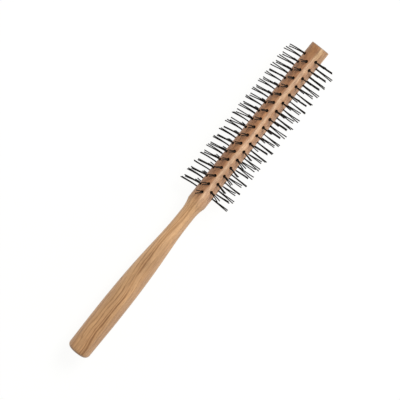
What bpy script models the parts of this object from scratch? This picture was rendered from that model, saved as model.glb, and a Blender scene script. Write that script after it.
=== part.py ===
"""Round barrel hair brush: one turned wooden body, and rings of nylon tufts set in its barrel.

The brush lies along X. The origin is the centre of the handle's flat butt face, and the barrel's tip
points to +X. Tufts stand in eight rows along the barrel. Every second row is shifted by half a pitch, so
the tufts form rings of four: the A rings and the B rings, which alternate along the barrel.
"""

import math
import random

import bmesh
import bpy
from mathutils import Matrix, Vector
from mathutils.geometry import interpolate_bezier

MM = 0.001
DEGREE = math.radians(1)
ALONG = Vector((1.0, 0.0, 0.0))

# Wooden body, measured along X from the butt face.
LENGTH = 240 * MM
BARREL_LENGTH = 121.3 * MM
BARREL_RADIUS = 6.25 * MM
TIP_EDGE_RADIUS = 0.5 * MM
COVE_LENGTH = 8.7 * MM
NECK_RADIUS = 4.84 * MM
NECK_LENGTH = 4 * MM
BELLY_RADIUS = 7.89 * MM
BELLY_X = 31 * MM
BUTT_RADIUS = 7.62 * MM
BUTT_EDGE_RADIUS = 3.2 * MM

# How far each Bezier handle reaches along X where the handle swells from neck to belly.
NECK_HANDLE = 20 * MM
BELLY_HANDLE = 44.5 * MM
REAR_HANDLE = 12 * MM

# Tufts. A tuft is one filament folded in half, so two legs stand in each hole.
ROW_SPACING = 45 * DEGREE
RINGS = 17
RING_PITCH = 6.34 * MM
FIRST_RING_FROM_TIP = 8.65 * MM
HOLE_RADIUS = 0.95 * MM
FILAMENT_RADIUS = 0.35 * MM
LEG_OFFSET = 0.36 * MM
FOLD_TURN = 45 * DEGREE
TUFT_TIP_RADIUS = 18.5 * MM
MOUTH_RADIUS = 5.95 * MM
LEG_SHORTEST = 0.7 * MM
SPREAD_ALONG = 0.6 * MM
SPREAD_ASIDE = 0.2 * MM
TUFT_SEED = 136

# How far each of the eight rows of tufts leans, in degrees: towards the handle, and round the barrel.
# One row is combed back further at its end near the handle.
ROW_LEANS = ((-4, 4), (-1.5, 0), (-2, 0), (3, 0), (5, 0), (7.5, 0), (7.5, -5), (5, 0))
COMBED_ROW = 0
COMBED_END = 165 * MM
COMBED_LEAN = 7

TURNING_STEPS = 32
HOLE_SIDES = 8
EDGE_STEPS = 3
COVE_STEPS = 4
SWELL_STEPS = 10
REAR_STEPS = 4
MERGE_DISTANCE = 0.001 * MM
SHARP_ANGLE = 35 * DEGREE


def clear_scene():
    """Empty the scene."""
    for obj in list(bpy.data.objects):
        bpy.data.objects.remove(obj, do_unlink=True)


def new_collection(name):
    """Return a new collection linked to the scene."""
    collection = bpy.data.collections.new(name)
    bpy.context.scene.collection.children.link(collection)
    return collection


def new_material(name, colour, roughness):
    """Return a Principled material with one colour and roughness."""
    material = bpy.data.materials.new(name)
    material.use_nodes = True
    shader = material.node_tree.nodes["Principled BSDF"]
    shader.inputs["Base Color"].default_value = (*colour, 1.0)
    shader.inputs["Roughness"].default_value = roughness
    shader.inputs["Metallic"].default_value = 0.0
    material.diffuse_color = (*colour, 1.0)
    return material


def arc(centre, radius, start, end, steps):
    """Return points on an arc round centre, as (x, r) pairs, both ends included."""
    angles = [start + (end - start) * i / steps for i in range(steps + 1)]
    return [(centre[0] + radius * math.cos(a), centre[1] + radius * math.sin(a)) for a in angles]


def bezier(start, start_handle, end_handle, end, steps):
    """Return points on a Bezier curve, as (x, r) pairs, both ends included."""
    knots = [Vector((x, r)) for x, r in (start, start_handle, end_handle, end)]
    return [(p.x, p.y) for p in interpolate_bezier(*knots, steps + 1)]


def cove_outline():
    """Return the hollow curve from the barrel's shoulder down to the neck."""
    drop = BARREL_RADIUS - NECK_RADIUS
    radius = (COVE_LENGTH**2 + drop**2) / (2 * drop)
    foot = LENGTH - BARREL_LENGTH - COVE_LENGTH
    shoulder_angle = math.asin(COVE_LENGTH / radius) - math.pi / 2
    return arc((foot, NECK_RADIUS + radius), radius, shoulder_angle, -math.pi / 2, COVE_STEPS)


def handle_outline():
    """Return the curve from the neck over the belly to the butt's rounded edge."""
    neck_x = LENGTH - BARREL_LENGTH - COVE_LENGTH - NECK_LENGTH
    swell = bezier(
        (neck_x, NECK_RADIUS),
        (neck_x - NECK_HANDLE, NECK_RADIUS),
        (BELLY_X + BELLY_HANDLE, BELLY_RADIUS),
        (BELLY_X, BELLY_RADIUS),
        SWELL_STEPS,
    )
    rear = bezier(
        (BELLY_X, BELLY_RADIUS),
        (BELLY_X - REAR_HANDLE, BELLY_RADIUS),
        (BUTT_EDGE_RADIUS + REAR_HANDLE / 2, BUTT_RADIUS),
        (BUTT_EDGE_RADIUS, BUTT_RADIUS),
        REAR_STEPS,
    )
    edge_centre = (BUTT_EDGE_RADIUS, BUTT_RADIUS - BUTT_EDGE_RADIUS)
    edge = arc(edge_centre, BUTT_EDGE_RADIUS, math.pi / 2, math.pi, EDGE_STEPS + 1)
    return swell + rear[1:] + edge[1:]


def body_outline():
    """Return the body's outline from the middle of the tip face to the middle of the butt face."""
    tip_centre = (LENGTH - TIP_EDGE_RADIUS, BARREL_RADIUS - TIP_EDGE_RADIUS)
    tip_edge = arc(tip_centre, TIP_EDGE_RADIUS, 0.0, math.pi / 2, EDGE_STEPS)
    return [(LENGTH, 0.0), *tip_edge, *cove_outline(), *handle_outline(), (0.0, 0.0)]


def turned_body(collection, material):
    """Make the wooden body by turning its outline about the brush's axis."""
    mesh = bpy.data.meshes.new("wooden_body")
    outline = body_outline()
    edges = [(i, i + 1) for i in range(len(outline) - 1)]
    mesh.from_pydata([(r, 0.0, x) for x, r in outline], edges, [])
    body = bpy.data.objects.new("wooden_body", mesh)
    collection.objects.link(body)
    body.rotation_euler = (0.0, math.pi / 2, 0.0)
    body.data.materials.append(material)
    screw = body.modifiers.new("turning", "SCREW")
    screw.axis = "Z"
    screw.angle = math.tau
    screw.steps = TURNING_STEPS
    screw.render_steps = TURNING_STEPS
    screw.use_merge_vertices = True
    screw.merge_threshold = MERGE_DISTANCE
    screw.use_smooth_shade = True
    return body


def outward(row):
    """Return the direction in which a row's holes are drilled: +Z turned about +X."""
    angle = (row + 0.5) * ROW_SPACING
    return Vector((0.0, -math.sin(angle), math.cos(angle)))


def ring_places():
    """Return each ring's name, its place along X and its first row. Its other rows are 2, 4 and 6 on."""
    places = []
    for first_row, letter in enumerate("ab"):
        for i in range(RINGS):
            x = LENGTH - FIRST_RING_FROM_TIP - (i + first_row / 2) * RING_PITCH
            places.append((f"tuft_ring_{letter}{i + 1:02d}", x, first_row))
    return places


def hole_cutter(collection):
    """Make one cutter that holds every tuft hole. Opposite holes share a cylinder."""
    cutter_mesh = bmesh.new()
    for _, x, first_row in ring_places():
        for row in (first_row, first_row + 2):
            turn = Vector((0.0, 0.0, 1.0)).rotation_difference(outward(row)).to_matrix().to_4x4()
            bmesh.ops.create_cone(
                cutter_mesh,
                cap_ends=True,
                segments=HOLE_SIDES,
                radius1=HOLE_RADIUS,
                radius2=HOLE_RADIUS,
                depth=2 * BARREL_RADIUS + 2 * MM,
                matrix=Matrix.Translation(ALONG * x) @ turn,
            )
    mesh = bpy.data.meshes.new("hole_cutter")
    cutter_mesh.to_mesh(mesh)
    cutter_mesh.free()
    cutter = bpy.data.objects.new("hole_cutter", mesh)
    cutter.hide_render = True
    cutter.display_type = "WIRE"
    collection.objects.link(cutter)
    return cutter


def drill(body, cutter):
    """Cut the tuft holes out of the body."""
    cut = body.modifiers.new("tuft_holes", "BOOLEAN")
    cut.operation = "DIFFERENCE"
    cut.solver = "EXACT"
    cut.use_self = True
    cut.object = cutter


def tuft_direction(ring_x, row):
    """Return the direction in which the free part of a tuft stands."""
    back, turned = ROW_LEANS[row]
    if row == COMBED_ROW and ring_x < COMBED_END:
        back += COMBED_LEAN
    round_barrel = ALONG.cross(outward(row))
    direction = outward(row) - ALONG * math.tan(back * DEGREE) + round_barrel * math.tan(turned * DEGREE)
    return direction.normalized()


def tuft_legs(ring_x, row, side, draw):
    """Return one tuft's two legs, each as its points at the mouth and at the tip.

    side is the direction in which the two legs lie beside each other in the hole.
    """
    spread = ALONG * draw.uniform(0.0, SPREAD_ALONG) + side * draw.uniform(0.0, SPREAD_ASIDE)
    legs = []
    for sign in (1, -1):
        mouth = ALONG * ring_x + outward(row) * MOUTH_RADIUS + side * (sign * LEG_OFFSET)
        free_length = TUFT_TIP_RADIUS - MOUTH_RADIUS - draw.uniform(0.0, LEG_SHORTEST)
        legs.append((mouth, mouth + tuft_direction(ring_x, row) * free_length + spread * sign))
    return legs


def opposite_tufts(name, ring_x, row, draw):
    """Make two opposite tufts of a ring, whose filaments run on through the middle of the barrel."""
    turn = draw.uniform(0.0, FOLD_TURN)
    side = ALONG.cross(outward(row)) * math.cos(turn) + ALONG * math.sin(turn)
    near = tuft_legs(ring_x, row, side, draw)
    far = tuft_legs(ring_x, row + 4, side, draw)
    curve = bpy.data.curves.new(f"{name}_path", "CURVE")
    curve.dimensions = "3D"
    curve.bevel_depth = FILAMENT_RADIUS
    curve.bevel_resolution = 1
    curve.use_fill_caps = True
    for (near_mouth, near_tip), (far_mouth, far_tip) in zip(near, far):
        spline = curve.splines.new("POLY")
        spline.points.add(3)
        for point, place in zip(spline.points, (near_tip, near_mouth, far_mouth, far_tip)):
            point.co = (*place, 1.0)
    return as_mesh(name, bpy.data.objects.new(f"{name}_path", curve))


def as_mesh(name, curve_object):
    """Return a mesh object made from a curve object, with its caps welded on."""
    bpy.context.scene.collection.objects.link(curve_object)
    bpy.context.view_layer.update()
    evaluated = curve_object.evaluated_get(bpy.context.evaluated_depsgraph_get())
    mesh = bpy.data.meshes.new_from_object(evaluated)
    obj = bpy.data.objects.new(name, mesh)
    obj.matrix_world = curve_object.matrix_world
    bpy.data.objects.remove(curve_object, do_unlink=True)
    welded = bmesh.new()
    welded.from_mesh(mesh)
    bmesh.ops.remove_doubles(welded, verts=welded.verts, dist=MERGE_DISTANCE)
    welded.to_mesh(mesh)
    welded.free()
    return obj


def tuft_ring(name, ring_x, first_row, collection, guides, material, draw):
    """Make one ring of four tufts, joined where their filaments cross in the middle of the barrel."""
    ring = opposite_tufts(name, ring_x, first_row, draw)
    crossing = opposite_tufts(f"{name}_crossing", ring_x, first_row + 2, draw)
    crossing.hide_render = True
    crossing.display_type = "WIRE"
    guides.objects.link(crossing)
    collection.objects.link(ring)
    ring.data.materials.clear()
    ring.data.materials.append(material)
    ring.data.shade_smooth()
    ring.data.set_sharp_from_angle(angle=SHARP_ANGLE)
    join = ring.modifiers.new("join_crossing", "BOOLEAN")
    join.operation = "UNION"
    join.solver = "EXACT"
    join.object = crossing
    return ring


def build():
    """Make the whole brush."""
    clear_scene()
    brush = new_collection("round_barrel_brush")
    cutters = new_collection("cutters")
    wood = new_material("turned_wood", (0.52, 0.34, 0.19), 0.5)
    nylon = new_material("black_nylon", (0.012, 0.009, 0.007), 0.35)
    body = turned_body(brush, wood)
    drill(body, hole_cutter(cutters))
    draw = random.Random(TUFT_SEED)
    for name, x, first_row in ring_places():
        tuft_ring(name, x, first_row, brush, cutters, nylon, draw)


build()
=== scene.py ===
"""The looks of the round barrel brush: a turned and drilled body, nylon tufts and their wire anchors.

The brush lies along X with its tip at +X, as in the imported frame. Sizes are in metres, except where a
comment says millimetres.
"""

import math
import random

import bmesh
import bpy
from mathutils import Matrix, Vector
from mathutils.geometry import interpolate_bezier


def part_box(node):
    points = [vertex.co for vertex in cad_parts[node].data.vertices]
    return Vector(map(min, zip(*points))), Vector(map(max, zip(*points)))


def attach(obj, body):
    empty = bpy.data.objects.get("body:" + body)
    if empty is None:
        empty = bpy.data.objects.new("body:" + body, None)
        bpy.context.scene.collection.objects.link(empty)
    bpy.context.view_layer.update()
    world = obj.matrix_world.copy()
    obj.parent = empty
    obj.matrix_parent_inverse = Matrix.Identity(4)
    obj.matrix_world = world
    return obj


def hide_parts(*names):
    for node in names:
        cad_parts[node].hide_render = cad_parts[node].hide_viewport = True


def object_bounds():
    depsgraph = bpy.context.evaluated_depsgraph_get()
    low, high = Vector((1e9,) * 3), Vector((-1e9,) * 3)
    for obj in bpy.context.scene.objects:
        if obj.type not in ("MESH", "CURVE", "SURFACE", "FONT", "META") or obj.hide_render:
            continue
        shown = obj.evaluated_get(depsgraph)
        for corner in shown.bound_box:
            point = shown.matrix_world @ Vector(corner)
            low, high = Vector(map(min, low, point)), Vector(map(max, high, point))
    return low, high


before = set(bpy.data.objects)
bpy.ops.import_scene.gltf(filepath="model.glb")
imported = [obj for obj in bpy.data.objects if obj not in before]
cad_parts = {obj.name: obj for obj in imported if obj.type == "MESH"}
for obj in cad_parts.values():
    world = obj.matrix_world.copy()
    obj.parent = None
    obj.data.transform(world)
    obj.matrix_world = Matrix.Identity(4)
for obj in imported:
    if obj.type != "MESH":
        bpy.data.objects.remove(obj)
cad_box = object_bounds()

MM = 0.001
DEGREE = math.radians(1)
ALONG = Vector((1.0, 0.0, 0.0))

# Turned outline, measured along X from the butt face.
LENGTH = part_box("wooden_body")[1].x
BARREL_LENGTH = 121.3 * MM
BARREL_RADIUS = 6.25 * MM
TIP_EDGE_RADIUS = 0.5 * MM
COVE_LENGTH = 8.7 * MM
NECK_RADIUS = 4.84 * MM
NECK_LENGTH = 4 * MM
BELLY_RADIUS = 7.89 * MM
BELLY_X = 31 * MM
BUTT_RADIUS = 7.62 * MM
BUTT_EDGE_RADIUS = 3.2 * MM
NECK_HANDLE = 20 * MM
BELLY_HANDLE = 44.5 * MM
REAR_HANDLE = 12 * MM
TURNING_SIDES = 144
TIP_EDGE_STEPS = 6
BARREL_STEPS = 48
COVE_STEPS = 16
SWELL_STEPS = 48
REAR_STEPS = 16
BUTT_EDGE_STEPS = 12

# The wood's colours are set at places along X from the butt and across the sawn layers from the middle.
# Both are in millimetres, and these are the spans that their colour ramps cover.
PATTERN_LENGTH = 250.0
LAYERS_ACROSS = 24.0

# How far the layers wander from side to side, slowly and quickly along the brush.
SLOW_WANDER = 2.4
QUICK_WANDER = 2.4

# How far the layers slip sideways: GRAIN_SLIP_START plus GRAIN_SLIP times the share at each place along X.
GRAIN_SLIP_START = -1.4
GRAIN_SLIP = 4.6
SLIP_SHARES = ((5, 0.0), (20, 0.30), (42.5, 0.31), (72.5, 0.92), (85, 0.95), (110, 0.66))

# Shares along X: the barrel's colours, the dark lines' strength, the bare end's tint and the drilled wood,
# where the holes' painted shade goes.
BARREL_SHARES = ((113.75, 0.0), (128.75, 1.0))
LINE_SHARES = ((70, 1.0), (92.5, 0.6), (113.75, 0.6), (128.75, 0.2))
BARE_END_SHARES = ((228.75, 0.0), (235, 1.0))
DRILLED_SHARES = ((122, 0.0), (123, 1.0), (238, 1.0), (239, 0.0))

# The dark late-wood lines, each with its place across the layers, its half width and its strength.
GRAIN_LINES = (
    (-6.2, 0.5, 0.5),
    (-4.1, 0.5, 0.6),
    (-1.9, 0.5, 0.8),
    (0.3, 0.45, 0.9),
    (1.75, 0.85, 0.95),
    (3.3, 0.35, 0.5),
    (4.7, 0.35, 0.5),
    (7.2, 0.5, 0.4),
)

# Base colours of the wood across the layers, partly painted light and shade, and a tint along the handle.
# The handle's colours are partly wood tone and partly painted shade: darker towards both edges, most on
# the -Y side.
HANDLE_COLOURS_AND_PAINTED_SHADE = (
    (-7.92, (0.50, 0.285, 0.133)),
    (-2.88, (0.58, 0.340, 0.160)),
    (0.0, (0.55, 0.312, 0.143)),
    (1.92, (0.54, 0.305, 0.137)),
    (3.36, (0.575, 0.338, 0.162)),
    (5.28, (0.49, 0.280, 0.132)),
    (7.92, (0.46, 0.258, 0.120)),
)
HANDLE_TINTS = ((10, (0.89, 0.85, 0.81)), (65, 1.0), (95, (1.08, 1.10, 1.13)))
# The barrel's colours are partly wood tone and partly painted light: a pale painted lit strip between the
# two rows of tufts nearest the camera, painted tuft shade on its +Y side and lighter painted shade on its
# -Y side.
BARREL_COLOURS_AND_PAINTED_LIGHT = (
    (-6.48, (0.38, 0.182, 0.080)),
    (-0.72, (0.40, 0.190, 0.084)),
    (0.792, (0.66, 0.430, 0.268)),
    (2.04, (0.66, 0.430, 0.268)),
    (3.168, (0.47, 0.262, 0.140)),
    (7.2, (0.50, 0.274, 0.145)),
)
LATE_WOOD = (0.245, 0.106, 0.030, 1.0)
PORE = (0.20, 0.095, 0.038, 1.0)
BARE_END_TINT = (0.88, 0.88, 0.76, 1.0)
# Faces turned towards the ends are darkened: partly end grain, partly painted shade on the butt's rounded
# edge.
END_GRAIN_AND_PAINTED_SHADE = (0.16, 0.078, 0.034, 1.0)
END_GRAIN_AND_SHADE_STRENGTH = 0.7
# Painted shade inside the drilled holes and on their eased rims.
PAINTED_HOLE_SHADE = (0.065, 0.022, 0.009, 1.0)

# Rows of tufts. A row's leans are in degrees: towards the handle, and round the barrel.
# The combed row leans further towards the handle, from the shoulder to where the combing ends.
ROWS = 8
ROW_SPACING = math.tau / ROWS
ROW_LEANS = ((-4, 4), (-1.5, 0), (-2, 0), (3, 0), (5, 0), (7.5, 0), (7.5, -5), (5, 0))
COMBED_ROW = 0
COMBED_END = 165 * MM
COMBED_LEAN = 7

# Blind holes, with a cutter that stands proud of the barrel.
HOLE_RADIUS = 0.95 * MM
HOLE_DEPTH = 4.5 * MM
HOLE_RIM = 0.16 * MM
HOLE_SIDES = 20
CUTTER_PROUD = 1 * MM

# Each tuft is one filament folded round a flat wire anchor, with eased ends and gently bowed legs.
# The shares are of the filament's radius and of a leg's length.
FILAMENT_RADIUS = 0.35 * MM
FILAMENT_SIDES = 8
EASED_LENGTH_SHARE = 0.35
EASED_RADIUS_SHARE = 0.72
MOUTH_RADIUS = 5.95 * MM
TUFT_TIP_RADIUS = 18.5 * MM
LEG_OFFSET = 0.36 * MM
LEG_HANDLE_SHARE = 0.3
LEG_POINTS = 8
FOLD_BEND = 0.49 * MM
FOLD_STEPS = 8
FOLD_CLEARANCE = 0.05 * MM

# The most that a tuft's drawn turn, shortening, spread and bow can be.
TUFT_SEED = 136
FOLD_TURN = 45 * DEGREE
LEG_SHORTENING = 0.7 * MM
SPREAD_ALONG = 0.6 * MM
SPREAD_ASIDE = 0.2 * MM
LEG_BOW = 0.3 * MM

# Flat wire anchors, a little longer than a hole is wide.
ANCHOR_THICKNESS = 0.26 * MM
ANCHOR_WIDTH = 1.0 * MM
ANCHOR_LENGTH = 2.2 * MM
ANCHOR_EDGE = 0.05 * MM

# Camera: above the brush, a little towards its tip, rolled about it, with the brush turned in the picture.
# The sensor's width is in millimetres, as Blender takes it.
PICTURE_TURN = 38.70 * DEGREE
ROLL = 8.35 * DEGREE
TIP_TILT = 6.1 * DEGREE
CAMERA_DISTANCE = 1500 * MM
PICTURE_SPAN = 244.8 * MM
AIM_X = 121.4 * MM
AIM_SIDE = 0.64 * MM
SENSOR_WIDTH = 36.0

# White floor and even surround.
FLOOR_SIZE = 3.0
FLOOR_GAP = 0.1 * MM
FLOOR_GLOW = 0.91
SURROUND_STRENGTH = 0.55


def arc(centre, radius, start, end, steps):
    """Return points on an arc round centre, as (x, r) pairs, both ends included."""
    angles = [start + (end - start) * i / steps for i in range(steps + 1)]
    return [(centre[0] + radius * math.cos(a), centre[1] + radius * math.sin(a)) for a in angles]


def bezier(start, start_handle, end_handle, end, steps):
    """Return points on a Bezier curve, as (x, r) pairs, both ends included."""
    knots = [Vector((x, r)) for x, r in (start, start_handle, end_handle, end)]
    return [(p.x, p.y) for p in interpolate_bezier(*knots, steps + 1)]


def between(start, end, steps):
    """Return the points that divide a straight line into steps, as (x, r) pairs, without its ends."""
    line = [Vector(start).lerp(Vector(end), i / steps) for i in range(1, steps)]
    return [(p.x, p.y) for p in line]


def body_outline():
    """Return the turned outline from the middle of the tip face to the middle of the butt face."""
    tip_centre = (LENGTH - TIP_EDGE_RADIUS, BARREL_RADIUS - TIP_EDGE_RADIUS)
    tip_edge = arc(tip_centre, TIP_EDGE_RADIUS, 0.0, math.pi / 2, TIP_EDGE_STEPS)
    drop = BARREL_RADIUS - NECK_RADIUS
    cove_radius = (COVE_LENGTH**2 + drop**2) / (2 * drop)
    foot = LENGTH - BARREL_LENGTH - COVE_LENGTH
    shoulder_angle = math.asin(COVE_LENGTH / cove_radius) - math.pi / 2
    cove = arc((foot, NECK_RADIUS + cove_radius), cove_radius, shoulder_angle, -math.pi / 2, COVE_STEPS)
    neck_x = foot - NECK_LENGTH
    swell = bezier(
        (neck_x, NECK_RADIUS),
        (neck_x - NECK_HANDLE, NECK_RADIUS),
        (BELLY_X + BELLY_HANDLE, BELLY_RADIUS),
        (BELLY_X, BELLY_RADIUS),
        SWELL_STEPS,
    )
    rear = bezier(
        (BELLY_X, BELLY_RADIUS),
        (BELLY_X - REAR_HANDLE, BELLY_RADIUS),
        (BUTT_EDGE_RADIUS + REAR_HANDLE / 2, BUTT_RADIUS),
        (BUTT_EDGE_RADIUS, BUTT_RADIUS),
        REAR_STEPS,
    )
    edge_centre = (BUTT_EDGE_RADIUS, BUTT_RADIUS - BUTT_EDGE_RADIUS)
    butt_edge = arc(edge_centre, BUTT_EDGE_RADIUS, math.pi / 2, math.pi, BUTT_EDGE_STEPS)
    barrel = between(tip_edge[-1], cove[0], BARREL_STEPS)
    return [(LENGTH, 0.0), *tip_edge, *barrel, *cove, *swell, *rear[1:], *butt_edge[1:], (0.0, 0.0)]


def mesh_object(name, made):
    """Return a linked object that holds the finished bmesh."""
    bmesh.ops.recalc_face_normals(made, faces=made.faces)
    mesh = bpy.data.meshes.new(name)
    made.to_mesh(mesh)
    made.free()
    obj = bpy.data.objects.new(name, mesh)
    bpy.context.scene.collection.objects.link(obj)
    return obj


def finish_piece(piece, material, sharp_angle):
    """Give a piece its material and shading, and make it ride with the brush."""
    piece.data.materials.clear()
    piece.data.materials.append(material)
    piece.data.shade_smooth()
    piece.data.set_sharp_from_angle(angle=sharp_angle)
    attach(piece, "root")


def skin(made, loops):
    """Join each closed loop of vertices to the next one with quads."""
    for low, high in zip(loops, loops[1:]):
        sides = len(low)
        for i in range(sides):
            j = (i + 1) % sides
            made.faces.new((low[i], low[j], high[j], high[i]))


def outward(angle):
    """Return +Z turned by an angle about +X."""
    return Vector((0.0, -math.sin(angle), math.cos(angle)))


def turned_body():
    """Return the undrilled wooden body: the outline turned about X, with a fan of faces at each end."""
    made = bmesh.new()
    angles = [math.tau * i / TURNING_SIDES for i in range(TURNING_SIDES)]
    tip, *outline, butt = body_outline()
    loops = [[made.verts.new(ALONG * x + outward(a) * r) for a in angles] for x, r in outline]
    skin(made, loops)
    for (x, _), loop in ((tip, loops[0]), (butt, loops[-1])):
        middle = made.verts.new(ALONG * x)
        for i in range(TURNING_SIDES):
            made.faces.new((middle, loop[i], loop[(i + 1) % TURNING_SIDES]))
    return mesh_object("turned_wooden_body", made)


def ring_nodes():
    """Return each ring node's name, its place along X and its first row."""
    found = []
    for name in sorted(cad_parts):
        if not name.startswith("tuft_ring_"):
            continue
        roots = [v.co.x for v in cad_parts[name].data.vertices if v.co.yz.length < BARREL_RADIUS]
        first = "ab".index(name.removeprefix("tuft_ring_")[0])
        found.append((name, (min(roots) + max(roots)) / 2, first))
    return found


def row_outward(row):
    """Return the direction in which a row's tufts stand. Row 0 is half a spacing from straight up."""
    return outward((row + 0.5) * ROW_SPACING)


def hole_cutter(rings):
    """Return one object that holds a cutter for every blind hole, each with a slightly eased rim."""
    made = bmesh.new()
    levels = (
        (BARREL_RADIUS - HOLE_DEPTH, HOLE_RADIUS),
        (BARREL_RADIUS - HOLE_RIM, HOLE_RADIUS),
        (BARREL_RADIUS + HOLE_RIM, HOLE_RADIUS + 2 * HOLE_RIM),
        (BARREL_RADIUS + CUTTER_PROUD, HOLE_RADIUS + 2 * HOLE_RIM),
    )
    turns = [math.tau * (i + 0.5) / HOLE_SIDES for i in range(HOLE_SIDES)]
    for _, x, first in rings:
        for row in range(first, ROWS, 2):
            out = row_outward(row)
            side = ALONG.cross(out)
            loops = []
            for height, radius in levels:
                centre = ALONG * x + out * height
                around = [(ALONG * math.cos(t) + side * math.sin(t)) * radius for t in turns]
                loops.append([made.verts.new(centre + place) for place in around])
            skin(made, loops)
            made.faces.new(loops[0])
            made.faces.new(loops[-1])
    return mesh_object("hole_cutter", made)


def drilled_body(rings, material):
    """Make the wooden body with its blind holes."""
    body = turned_body()
    cutter = hole_cutter(rings)
    cut = body.modifiers.new("holes", "BOOLEAN")
    cut.operation = "DIFFERENCE"
    cut.solver = "EXACT"
    cut.object = cutter
    bpy.context.view_layer.update()
    evaluated = body.evaluated_get(bpy.context.evaluated_depsgraph_get())
    drilled = bpy.data.meshes.new_from_object(evaluated)
    body.modifiers.clear()
    body.data = drilled
    bpy.data.objects.remove(cutter, do_unlink=True)
    finish_piece(body, material, sharp_angle=28 * DEGREE)
    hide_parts("wooden_body")


def tuft_legs(ring_x, row, side, draw):
    """Return one tuft's two legs, each as the points at its mouth and at its tip."""
    out = row_outward(row)
    spread = ALONG * draw.uniform(0.0, SPREAD_ALONG) + side * draw.uniform(0.0, SPREAD_ASIDE)
    back, turned = ROW_LEANS[row]
    if row == COMBED_ROW and ring_x < COMBED_END:
        back += COMBED_LEAN
    way = out - ALONG * math.tan(back * DEGREE) + ALONG.cross(out) * math.tan(turned * DEGREE)
    legs = []
    for sign in (1, -1):
        mouth = ALONG * ring_x + out * MOUTH_RADIUS + side * (sign * LEG_OFFSET)
        free_length = TUFT_TIP_RADIUS - MOUTH_RADIUS - draw.uniform(0.0, LEG_SHORTENING)
        legs.append((mouth, mouth + way.normalized() * free_length + spread * sign))
    return legs


def leg_path(mouth, tip, out, bend):
    """Return points from the mouth to the tip along a gently bowed leg."""
    span = tip - mouth
    start_handle = mouth + out * (span.length * LEG_HANDLE_SHARE)
    end_handle = tip - span * LEG_HANDLE_SHARE + bend
    return list(interpolate_bezier(mouth, start_handle, end_handle, tip, LEG_POINTS))


def fold_centre(ring_x, out):
    """Return the middle of a fold's bend, just above the bottom of its hole."""
    height = BARREL_RADIUS - HOLE_DEPTH + FOLD_CLEARANCE + FILAMENT_RADIUS + FOLD_BEND
    return ALONG * ring_x + out * height


def fold_path(centre, out, side):
    """Return points round the fold, from one leg's side of the hole to the other's."""
    angles = [math.pi * i / FOLD_STEPS for i in range(FOLD_STEPS + 1)]
    return [centre + (side * math.cos(a) - out * math.sin(a)) * FOLD_BEND for a in angles]


def sweep(made, path, radius, sides):
    """Add a round filament with eased ends along path to the bmesh."""
    steps = [(b - a).normalized() for a, b in zip(path, path[1:])]
    tangents = [steps[0], *[(a + b).normalized() for a, b in zip(steps, steps[1:])], steps[-1]]
    first = tangents[0]
    last = tangents[-1]
    inset = radius * EASED_LENGTH_SHARE
    end_radius = radius * EASED_RADIUS_SHARE
    stations = [
        (path[0], first, end_radius),
        (path[0] + first * inset, first, radius),
        *[(place, tangent, radius) for place, tangent in zip(path[1:-1], tangents[1:-1])],
        (path[-1] - last * inset, last, radius),
        (path[-1], last, end_radius),
    ]
    normal = first.orthogonal().normalized()
    turns = [math.tau * i / sides for i in range(sides)]
    loops = []
    for place, tangent, size in stations:
        normal = (normal - tangent * normal.dot(tangent)).normalized()
        across = tangent.cross(normal)
        around = [(normal * math.cos(t) + across * math.sin(t)) * size for t in turns]
        loops.append([made.verts.new(place + spoke) for spoke in around])
    skin(made, loops)
    made.faces.new(loops[0])
    made.faces.new(loops[-1])


def ring_tufts(ring_x, first, draw):
    """Return the ring's four tufts, each as its direction, the side its legs lie on, and its two legs."""
    tufts = []
    for row in (first, first + 2):
        turn = draw.uniform(0.0, FOLD_TURN)
        side = ALONG.cross(row_outward(row)) * math.cos(turn) + ALONG * math.sin(turn)
        for near_or_far in (row, row + ROWS // 2):
            tufts.append((row_outward(near_or_far), side, tuft_legs(ring_x, near_or_far, side, draw)))
    return tufts


def tuft_piece(name, ring_x, tufts, material, draw):
    """Make the four tufts that stand for one ring node."""
    made = bmesh.new()
    for out, side, legs in tufts:
        bow_along = draw.uniform(-LEG_BOW, LEG_BOW)
        bow_round = draw.uniform(-LEG_BOW, LEG_BOW)
        bend = ALONG * bow_along + ALONG.cross(out) * bow_round
        there, back = [leg_path(*leg, out, bend) for leg in legs]
        fold = fold_path(fold_centre(ring_x, out), out, side)
        sweep(made, [*reversed(there), *fold, *back], FILAMENT_RADIUS, FILAMENT_SIDES)
    piece = mesh_object(name.replace("tuft_ring", "tufts"), made)
    finish_piece(piece, material, sharp_angle=50 * DEGREE)
    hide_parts(name)


def anchors_piece(rings, tufts, material):
    """Make the flat wire anchors, one through each fold, with both ends bitten into the wood."""
    made = bmesh.new()
    for (_, x, _), ring in zip(rings, tufts):
        for out, side, _ in ring:
            centre = fold_centre(x, out) + out * (ANCHOR_WIDTH / 2)
            turn = Matrix((side, out, side.cross(out))).transposed().to_4x4()
            size = Matrix.Diagonal((ANCHOR_THICKNESS, ANCHOR_WIDTH, ANCHOR_LENGTH, 1.0))
            bmesh.ops.create_cube(made, size=1.0, matrix=Matrix.Translation(centre) @ turn @ size)
    bmesh.ops.bevel(made, geom=made.edges, offset=ANCHOR_EDGE, segments=2, affect="EDGES", profile=0.5)
    piece = mesh_object("flat_wire_anchors", made)
    finish_piece(piece, material, sharp_angle=40 * DEGREE)


def node(tree, kind, inputs=None, **settings):
    """Add a shader node, set its properties, and set or link its inputs."""
    made = tree.nodes.new(kind)
    for key, value in settings.items():
        setattr(made, key, value)
    for key, value in (inputs or {}).items():
        if isinstance(value, bpy.types.NodeSocket):
            tree.links.new(value, made.inputs[key])
        else:
            made.inputs[key].default_value = value
    return made


def maths(tree, operation, a, b=0.0):
    """Add a Math node and return its output."""
    return node(tree, "ShaderNodeMath", {0: a, 1: b}, operation=operation).outputs[0]


def scaled_and_shifted(tree, value, scale, shift):
    """Return the value times a scale, plus a shift."""
    return maths(tree, "ADD", maths(tree, "MULTIPLY", value, scale), shift)


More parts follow.
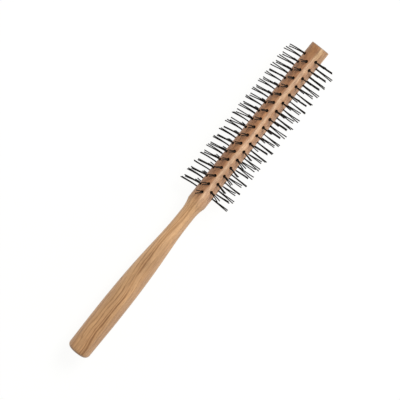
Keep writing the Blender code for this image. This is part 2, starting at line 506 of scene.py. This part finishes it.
def ramp(tree, factor, *stops):
    """Add a smooth colour ramp with (position, colour or grey) stops and return its colour."""
    made = node(tree, "ShaderNodeValToRGB", {"Fac": factor})
    made.color_ramp.interpolation = "EASE"
    elements = made.color_ramp.elements
    while len(elements) < len(stops):
        elements.new(0.5)
    for element, (position, colour) in zip(elements, stops):
        element.position = position
        element.color = (*colour, 1.0) if isinstance(colour, tuple) else (colour, colour, colour, 1.0)
    return made.outputs["Color"]


def mixed(tree, factor, a, b, blend="MIX"):
    """Mix two colours and return the result."""
    made = node(tree, "ShaderNodeMix", data_type="RGBA", blend_type=blend)
    for name, value in (("Factor", factor), ("A", a), ("B", b)):
        socket = next(s for s in made.inputs if s.name == name and s.enabled)
        if isinstance(value, bpy.types.NodeSocket):
            tree.links.new(value, socket)
        else:
            socket.default_value = value
    return next(s for s in made.outputs if s.enabled)


def scaled(tree, place, scale):
    """Return the place multiplied by a scale on each axis."""
    return node(tree, "ShaderNodeVectorMath", {0: place, 1: scale}, operation="MULTIPLY").outputs[0]


def noise(tree, place, scale, detail, roughness=0.5):
    """Return noise whose features are about 1/scale metres long on each axis."""
    inputs = {"Vector": scaled(tree, place, scale), "Scale": 1.0, "Detail": detail, "Roughness": roughness}
    return node(tree, "ShaderNodeTexNoise", inputs).outputs["Fac"]


def tinted(tree, colour, pattern, *stops, amount=1.0):
    """Multiply a colour by a ramp over a pattern."""
    return mixed(tree, amount, colour, ramp(tree, pattern, *stops), "MULTIPLY")


def relief(tree, shader, height, strength, depth):
    """Give a shader a bump of this height pattern."""
    bump = node(tree, "ShaderNodeBump", {"Height": height, "Strength": strength, "Distance": depth})
    tree.links.new(bump.outputs["Normal"], shader.inputs["Normal"])


def new_material(name):
    """Return an empty node material, its tree and its Principled shader."""
    material = bpy.data.materials.new(name)
    material.use_nodes = True
    tree = material.node_tree
    return material, tree, tree.nodes["Principled BSDF"]


def along_ramp(tree, along, stops):
    """Return a ramp along the brush, with its stops in millimetres from the butt."""
    position = maths(tree, "MULTIPLY", along, 1 / (PATTERN_LENGTH * MM))
    return ramp(tree, position, *[(mm / PATTERN_LENGTH, value) for mm, value in stops])


def across_ramp(tree, layer, stops):
    """Return a ramp across the sawn layers, with its stops in millimetres from the middle."""
    position = maths(tree, "ADD", maths(tree, "DIVIDE", layer, LAYERS_ACROSS), 0.5)
    return ramp(tree, position, *[(mm / LAYERS_ACROSS + 0.5, value) for mm, value in stops])


def wood_layers(tree, place, along):
    """Return the place across the sawn layers in millimetres, which wanders, without and with the slip."""
    square = (0.0, -math.cos(ROLL) / MM, math.sin(ROLL) / MM)
    dot = node(tree, "ShaderNodeVectorMath", {0: place, 1: square}, operation="DOT_PRODUCT")
    across = dot.outputs["Value"]
    slow = maths(tree, "SUBTRACT", noise(tree, place, (16.0, 90.0, 90.0), 2.0), 0.5)
    quick = maths(tree, "SUBTRACT", noise(tree, place, (55.0, 260.0, 260.0), 2.0), 0.5)
    slow = maths(tree, "MULTIPLY", slow, SLOW_WANDER)
    quick = maths(tree, "MULTIPLY", quick, QUICK_WANDER)
    layer = maths(tree, "ADD", across, maths(tree, "ADD", slow, quick))
    slip = scaled_and_shifted(tree, along_ramp(tree, along, SLIP_SHARES), GRAIN_SLIP, GRAIN_SLIP_START)
    return layer, maths(tree, "ADD", layer, slip)


def late_wood(tree, place, along, slipped):
    """Return how strongly each place lies on a dark line. Lines come and go, and fade on the barrel."""
    stops = []
    for middle, half_width, strength in GRAIN_LINES:
        stops += [(middle - half_width, 0.0), (middle, strength), (middle + half_width, 0.0)]
    lines = across_ramp(tree, slipped, stops)
    fading = ramp(tree, noise(tree, place, (26.0, 240.0, 240.0), 2.0), (0.36, 0.25), (0.48, 1.0))
    on_handle = along_ramp(tree, along, LINE_SHARES)
    return maths(tree, "MULTIPLY", maths(tree, "MULTIPLY", lines, fading), on_handle)


def wood_base(tree, place, along, on_barrel):
    """Return the wood's broad colours: handle and barrel, each with painted light and shade across the
    view, the barrel with its painted pale strip, and dark late-wood lines.
    """
    layer, slipped = wood_layers(tree, place, along)
    handle = across_ramp(tree, slipped, HANDLE_COLOURS_AND_PAINTED_SHADE)
    handle = mixed(tree, 1.0, handle, along_ramp(tree, along, HANDLE_TINTS), "MULTIPLY")
    colour = mixed(tree, on_barrel, handle, across_ramp(tree, layer, BARREL_COLOURS_AND_PAINTED_LIGHT))
    return mixed(tree, late_wood(tree, place, along, slipped), colour, LATE_WOOD)


def end_tint_and_painted_shade(tree, coordinates, along, colour):
    """Return the wood's colour with its bare end tint, its darker end grain and butt edge, partly painted
    shade, and painted shade in its holes.
    """
    # The barrel's bare end is yellower and darker.
    colour = mixed(tree, along_ramp(tree, along, BARE_END_SHARES), colour, BARE_END_TINT, "MULTIPLY")

    # Faces turned towards the ends darken: end grain drinks more lacquer, and the butt's rounded edge gets
    # painted shade.
    facing = node(tree, "ShaderNodeSeparateXYZ", {0: coordinates.outputs["Normal"]}).outputs["X"]
    end_grain_and_shade = ramp(tree, maths(tree, "ABSOLUTE", facing), (0.35, 0.0), (0.90, 1.0))
    colour = mixed(tree, maths(tree, "MULTIPLY", end_grain_and_shade, END_GRAIN_AND_SHADE_STRENGTH), colour, END_GRAIN_AND_PAINTED_SHADE)

    # Painted shade: the holes are painted dark inside, below the barrel's skin.
    centimetres = scaled(tree, coordinates.outputs["Object"], (0.0, 100.0, 100.0))
    from_axis = node(tree, "ShaderNodeVectorMath", {0: centimetres}, operation="LENGTH").outputs["Value"]
    hole_shade = ramp(tree, from_axis, (0.60, 1.0), (0.624, 0.0))
    drilled = along_ramp(tree, along, DRILLED_SHARES)
    return mixed(tree, maths(tree, "MULTIPLY", hole_shade, drilled), colour, PAINTED_HOLE_SHADE)


def wood_material():
    """Light lacquered hardwood, with sawn layers, late-wood lines, fibres, clouds, flecks and pores, and
    painted light and shade across the handle and barrel, at the ends and in the holes.
    """
    material, tree, shader = new_material("turned_wood")
    coordinates = node(tree, "ShaderNodeTexCoord")
    place = coordinates.outputs["Object"]
    along = node(tree, "ShaderNodeSeparateXYZ", {0: place}).outputs["X"]
    on_barrel = along_ramp(tree, along, BARREL_SHARES)
    colour = wood_base(tree, place, along, on_barrel)

    fibre = noise(tree, place, (45.0, 1100.0, 1100.0), 3.0, 0.6)
    fine = noise(tree, place, (420.0, 9000.0, 9000.0), 2.0, 0.6)
    cloud = noise(tree, place, (18.0, 120.0, 120.0), 2.0)
    fleck = noise(tree, place, (260.0, 620.0, 620.0), 2.0)
    pores = ramp(tree, noise(tree, place, (240.0, 4600.0, 4600.0), 1.0, 0.4), (0.66, 0.0), (0.74, 0.42))
    fleckiness = scaled_and_shifted(tree, on_barrel, 0.7, 0.3)
    colour = tinted(tree, colour, fibre, (0.30, 0.74), (0.5, 1.0), (0.70, 1.14))
    colour = tinted(tree, colour, fine, (0.28, 0.86), (0.5, 1.0), (0.75, 1.06))
    colour = tinted(tree, colour, cloud, (0.30, (0.91, 0.89, 0.87)), (0.70, (1.08, 1.07, 1.06)))
    fleck_tints = ((0.34, (0.85, 0.79, 0.77)), (0.66, (1.13, 1.13, 1.12)))
    colour = tinted(tree, colour, fleck, *fleck_tints, amount=fleckiness)
    colour = mixed(tree, pores, colour, PORE)
    colour = end_tint_and_painted_shade(tree, coordinates, along, colour)
    tree.links.new(colour, shader.inputs["Base Color"])

    tree.links.new(scaled_and_shifted(tree, fibre, 0.22, 0.38), shader.inputs["Roughness"])
    fibres = maths(tree, "ADD", maths(tree, "MULTIPLY", fine, 0.5), maths(tree, "MULTIPLY", fibre, 0.5))
    relief(tree, shader, maths(tree, "SUBTRACT", fibres, pores), 0.2, 0.05 * MM)
    shader.inputs["Coat Weight"].default_value = 0.2
    shader.inputs["Coat Roughness"].default_value = 0.35
    return material


def nylon_material():
    """Black nylon filament, faintly brown, uneven in gloss, with fine marks from drawing."""
    material, tree, shader = new_material("black_nylon")
    place = node(tree, "ShaderNodeTexCoord").outputs["Object"]
    cloud = noise(tree, place, (900.0, 900.0, 900.0), 2.0)
    colour = ramp(tree, cloud, (0.3, (0.004, 0.003, 0.0025)), (0.7, (0.012, 0.009, 0.007)))
    tree.links.new(colour, shader.inputs["Base Color"])
    tree.links.new(scaled_and_shifted(tree, cloud, 0.25, 0.45), shader.inputs["Roughness"])
    relief(tree, shader, noise(tree, place, (6000.0, 6000.0, 6000.0), 1.0), 0.15, 0.01 * MM)
    shader.inputs["Specular IOR Level"].default_value = 0.15
    return material


def anchor_material():
    """Dull brass wire with fine scratches and tarnish."""
    material, tree, shader = new_material("anchor_wire")
    place = node(tree, "ShaderNodeTexCoord").outputs["Object"]
    tarnish = noise(tree, place, (1500.0, 1500.0, 1500.0), 2.0)
    colour = ramp(tree, tarnish, (0.35, (0.36, 0.24, 0.09)), (0.65, (0.62, 0.45, 0.19)))
    tree.links.new(colour, shader.inputs["Base Color"])
    tree.links.new(scaled_and_shifted(tree, tarnish, 0.3, 0.25), shader.inputs["Roughness"])
    relief(tree, shader, noise(tree, place, (2000.0, 9000.0, 9000.0), 1.0), 0.1, 0.01 * MM)
    shader.inputs["Metallic"].default_value = 1.0
    return material


def floor():
    """Make the plain white floor under the brush. It glows, so that it stays even."""
    made = bmesh.new()
    bmesh.ops.create_grid(made, x_segments=1, y_segments=1, size=FLOOR_SIZE)
    ground = mesh_object("floor", made)
    ground.location = (LENGTH / 2, 0.0, cad_box[0].z - FLOOR_GAP)
    material, _, shader = new_material("white_floor")
    shader.inputs["Base Color"].default_value = (0.1, 0.1, 0.1, 1.0)
    shader.inputs["Roughness"].default_value = 1.0
    shader.inputs["Specular IOR Level"].default_value = 0.0
    shader.inputs["Emission Color"].default_value = (1.0, 1.0, 0.99, 1.0)
    shader.inputs["Emission Strength"].default_value = FLOOR_GLOW
    ground.data.materials.append(material)


def camera():
    """Place the camera at the reference view's turn, roll and tilt."""
    back = Vector((math.tan(TIP_TILT), math.sin(ROLL), math.cos(ROLL))).normalized()
    beside = ALONG.cross(back).normalized()
    tipwards = back.cross(beside)
    up = tipwards * math.cos(PICTURE_TURN) - beside * math.sin(PICTURE_TURN)
    right = tipwards * math.sin(PICTURE_TURN) + beside * math.cos(PICTURE_TURN)
    aim = ALONG * AIM_X + beside * AIM_SIDE
    data = bpy.data.cameras.new("camera")
    data.sensor_width = SENSOR_WIDTH
    data.lens = SENSOR_WIDTH * CAMERA_DISTANCE / PICTURE_SPAN
    data.clip_start = 0.01
    data.clip_end = 20.0
    eye = bpy.data.objects.new("camera", data)
    bpy.context.scene.collection.objects.link(eye)
    turn = Matrix((right, up, back)).transposed()
    eye.matrix_world = Matrix.Translation(aim + back * CAMERA_DISTANCE) @ turn.to_4x4()
    bpy.context.scene.camera = eye


def area_light(name, direction, distance, size, power):
    """Add a square area light that shines at the middle of the brush from this direction."""
    data = bpy.data.lights.new(name, "AREA")
    data.size = size
    data.energy = power
    lamp = bpy.data.objects.new(name, data)
    bpy.context.scene.collection.objects.link(lamp)
    towards = Vector(direction).normalized()
    lamp.location = ALONG * (LENGTH / 2) + towards * distance
    lamp.rotation_euler = towards.to_track_quat("Z", "Y").to_euler()


def lights():
    """Soft studio light: an even surround, a key from beyond the tip and a fill from the right."""
    world = bpy.data.worlds.new("surround")
    bpy.context.scene.world = world
    world.use_nodes = True
    sky = world.node_tree.nodes["Background"]
    sky.inputs["Color"].default_value = (1.0, 1.0, 1.0, 1.0)
    sky.inputs["Strength"].default_value = SURROUND_STRENGTH
    area_light("key", direction=(0.6, 0.0, 0.8), distance=1.4, size=0.5, power=12.0)
    area_light("fill", direction=(0.0, -0.95, 0.2), distance=1.2, size=0.8, power=3.0)
    bpy.context.scene.view_settings.view_transform = "Standard"


def build():
    """Make every piece, the floor, the camera and the lights."""
    camera()
    lights()
    floor()
    rings = ring_nodes()
    drilled_body(rings, wood_material())
    nylon = nylon_material()
    draw = random.Random(TUFT_SEED)
    tufts = [ring_tufts(x, first, draw) for _, x, first in rings]
    for (name, x, _), ring in zip(rings, tufts):
        tuft_piece(name, x, ring, nylon, draw)
    anchors_piece(rings, tufts, anchor_material())


build()
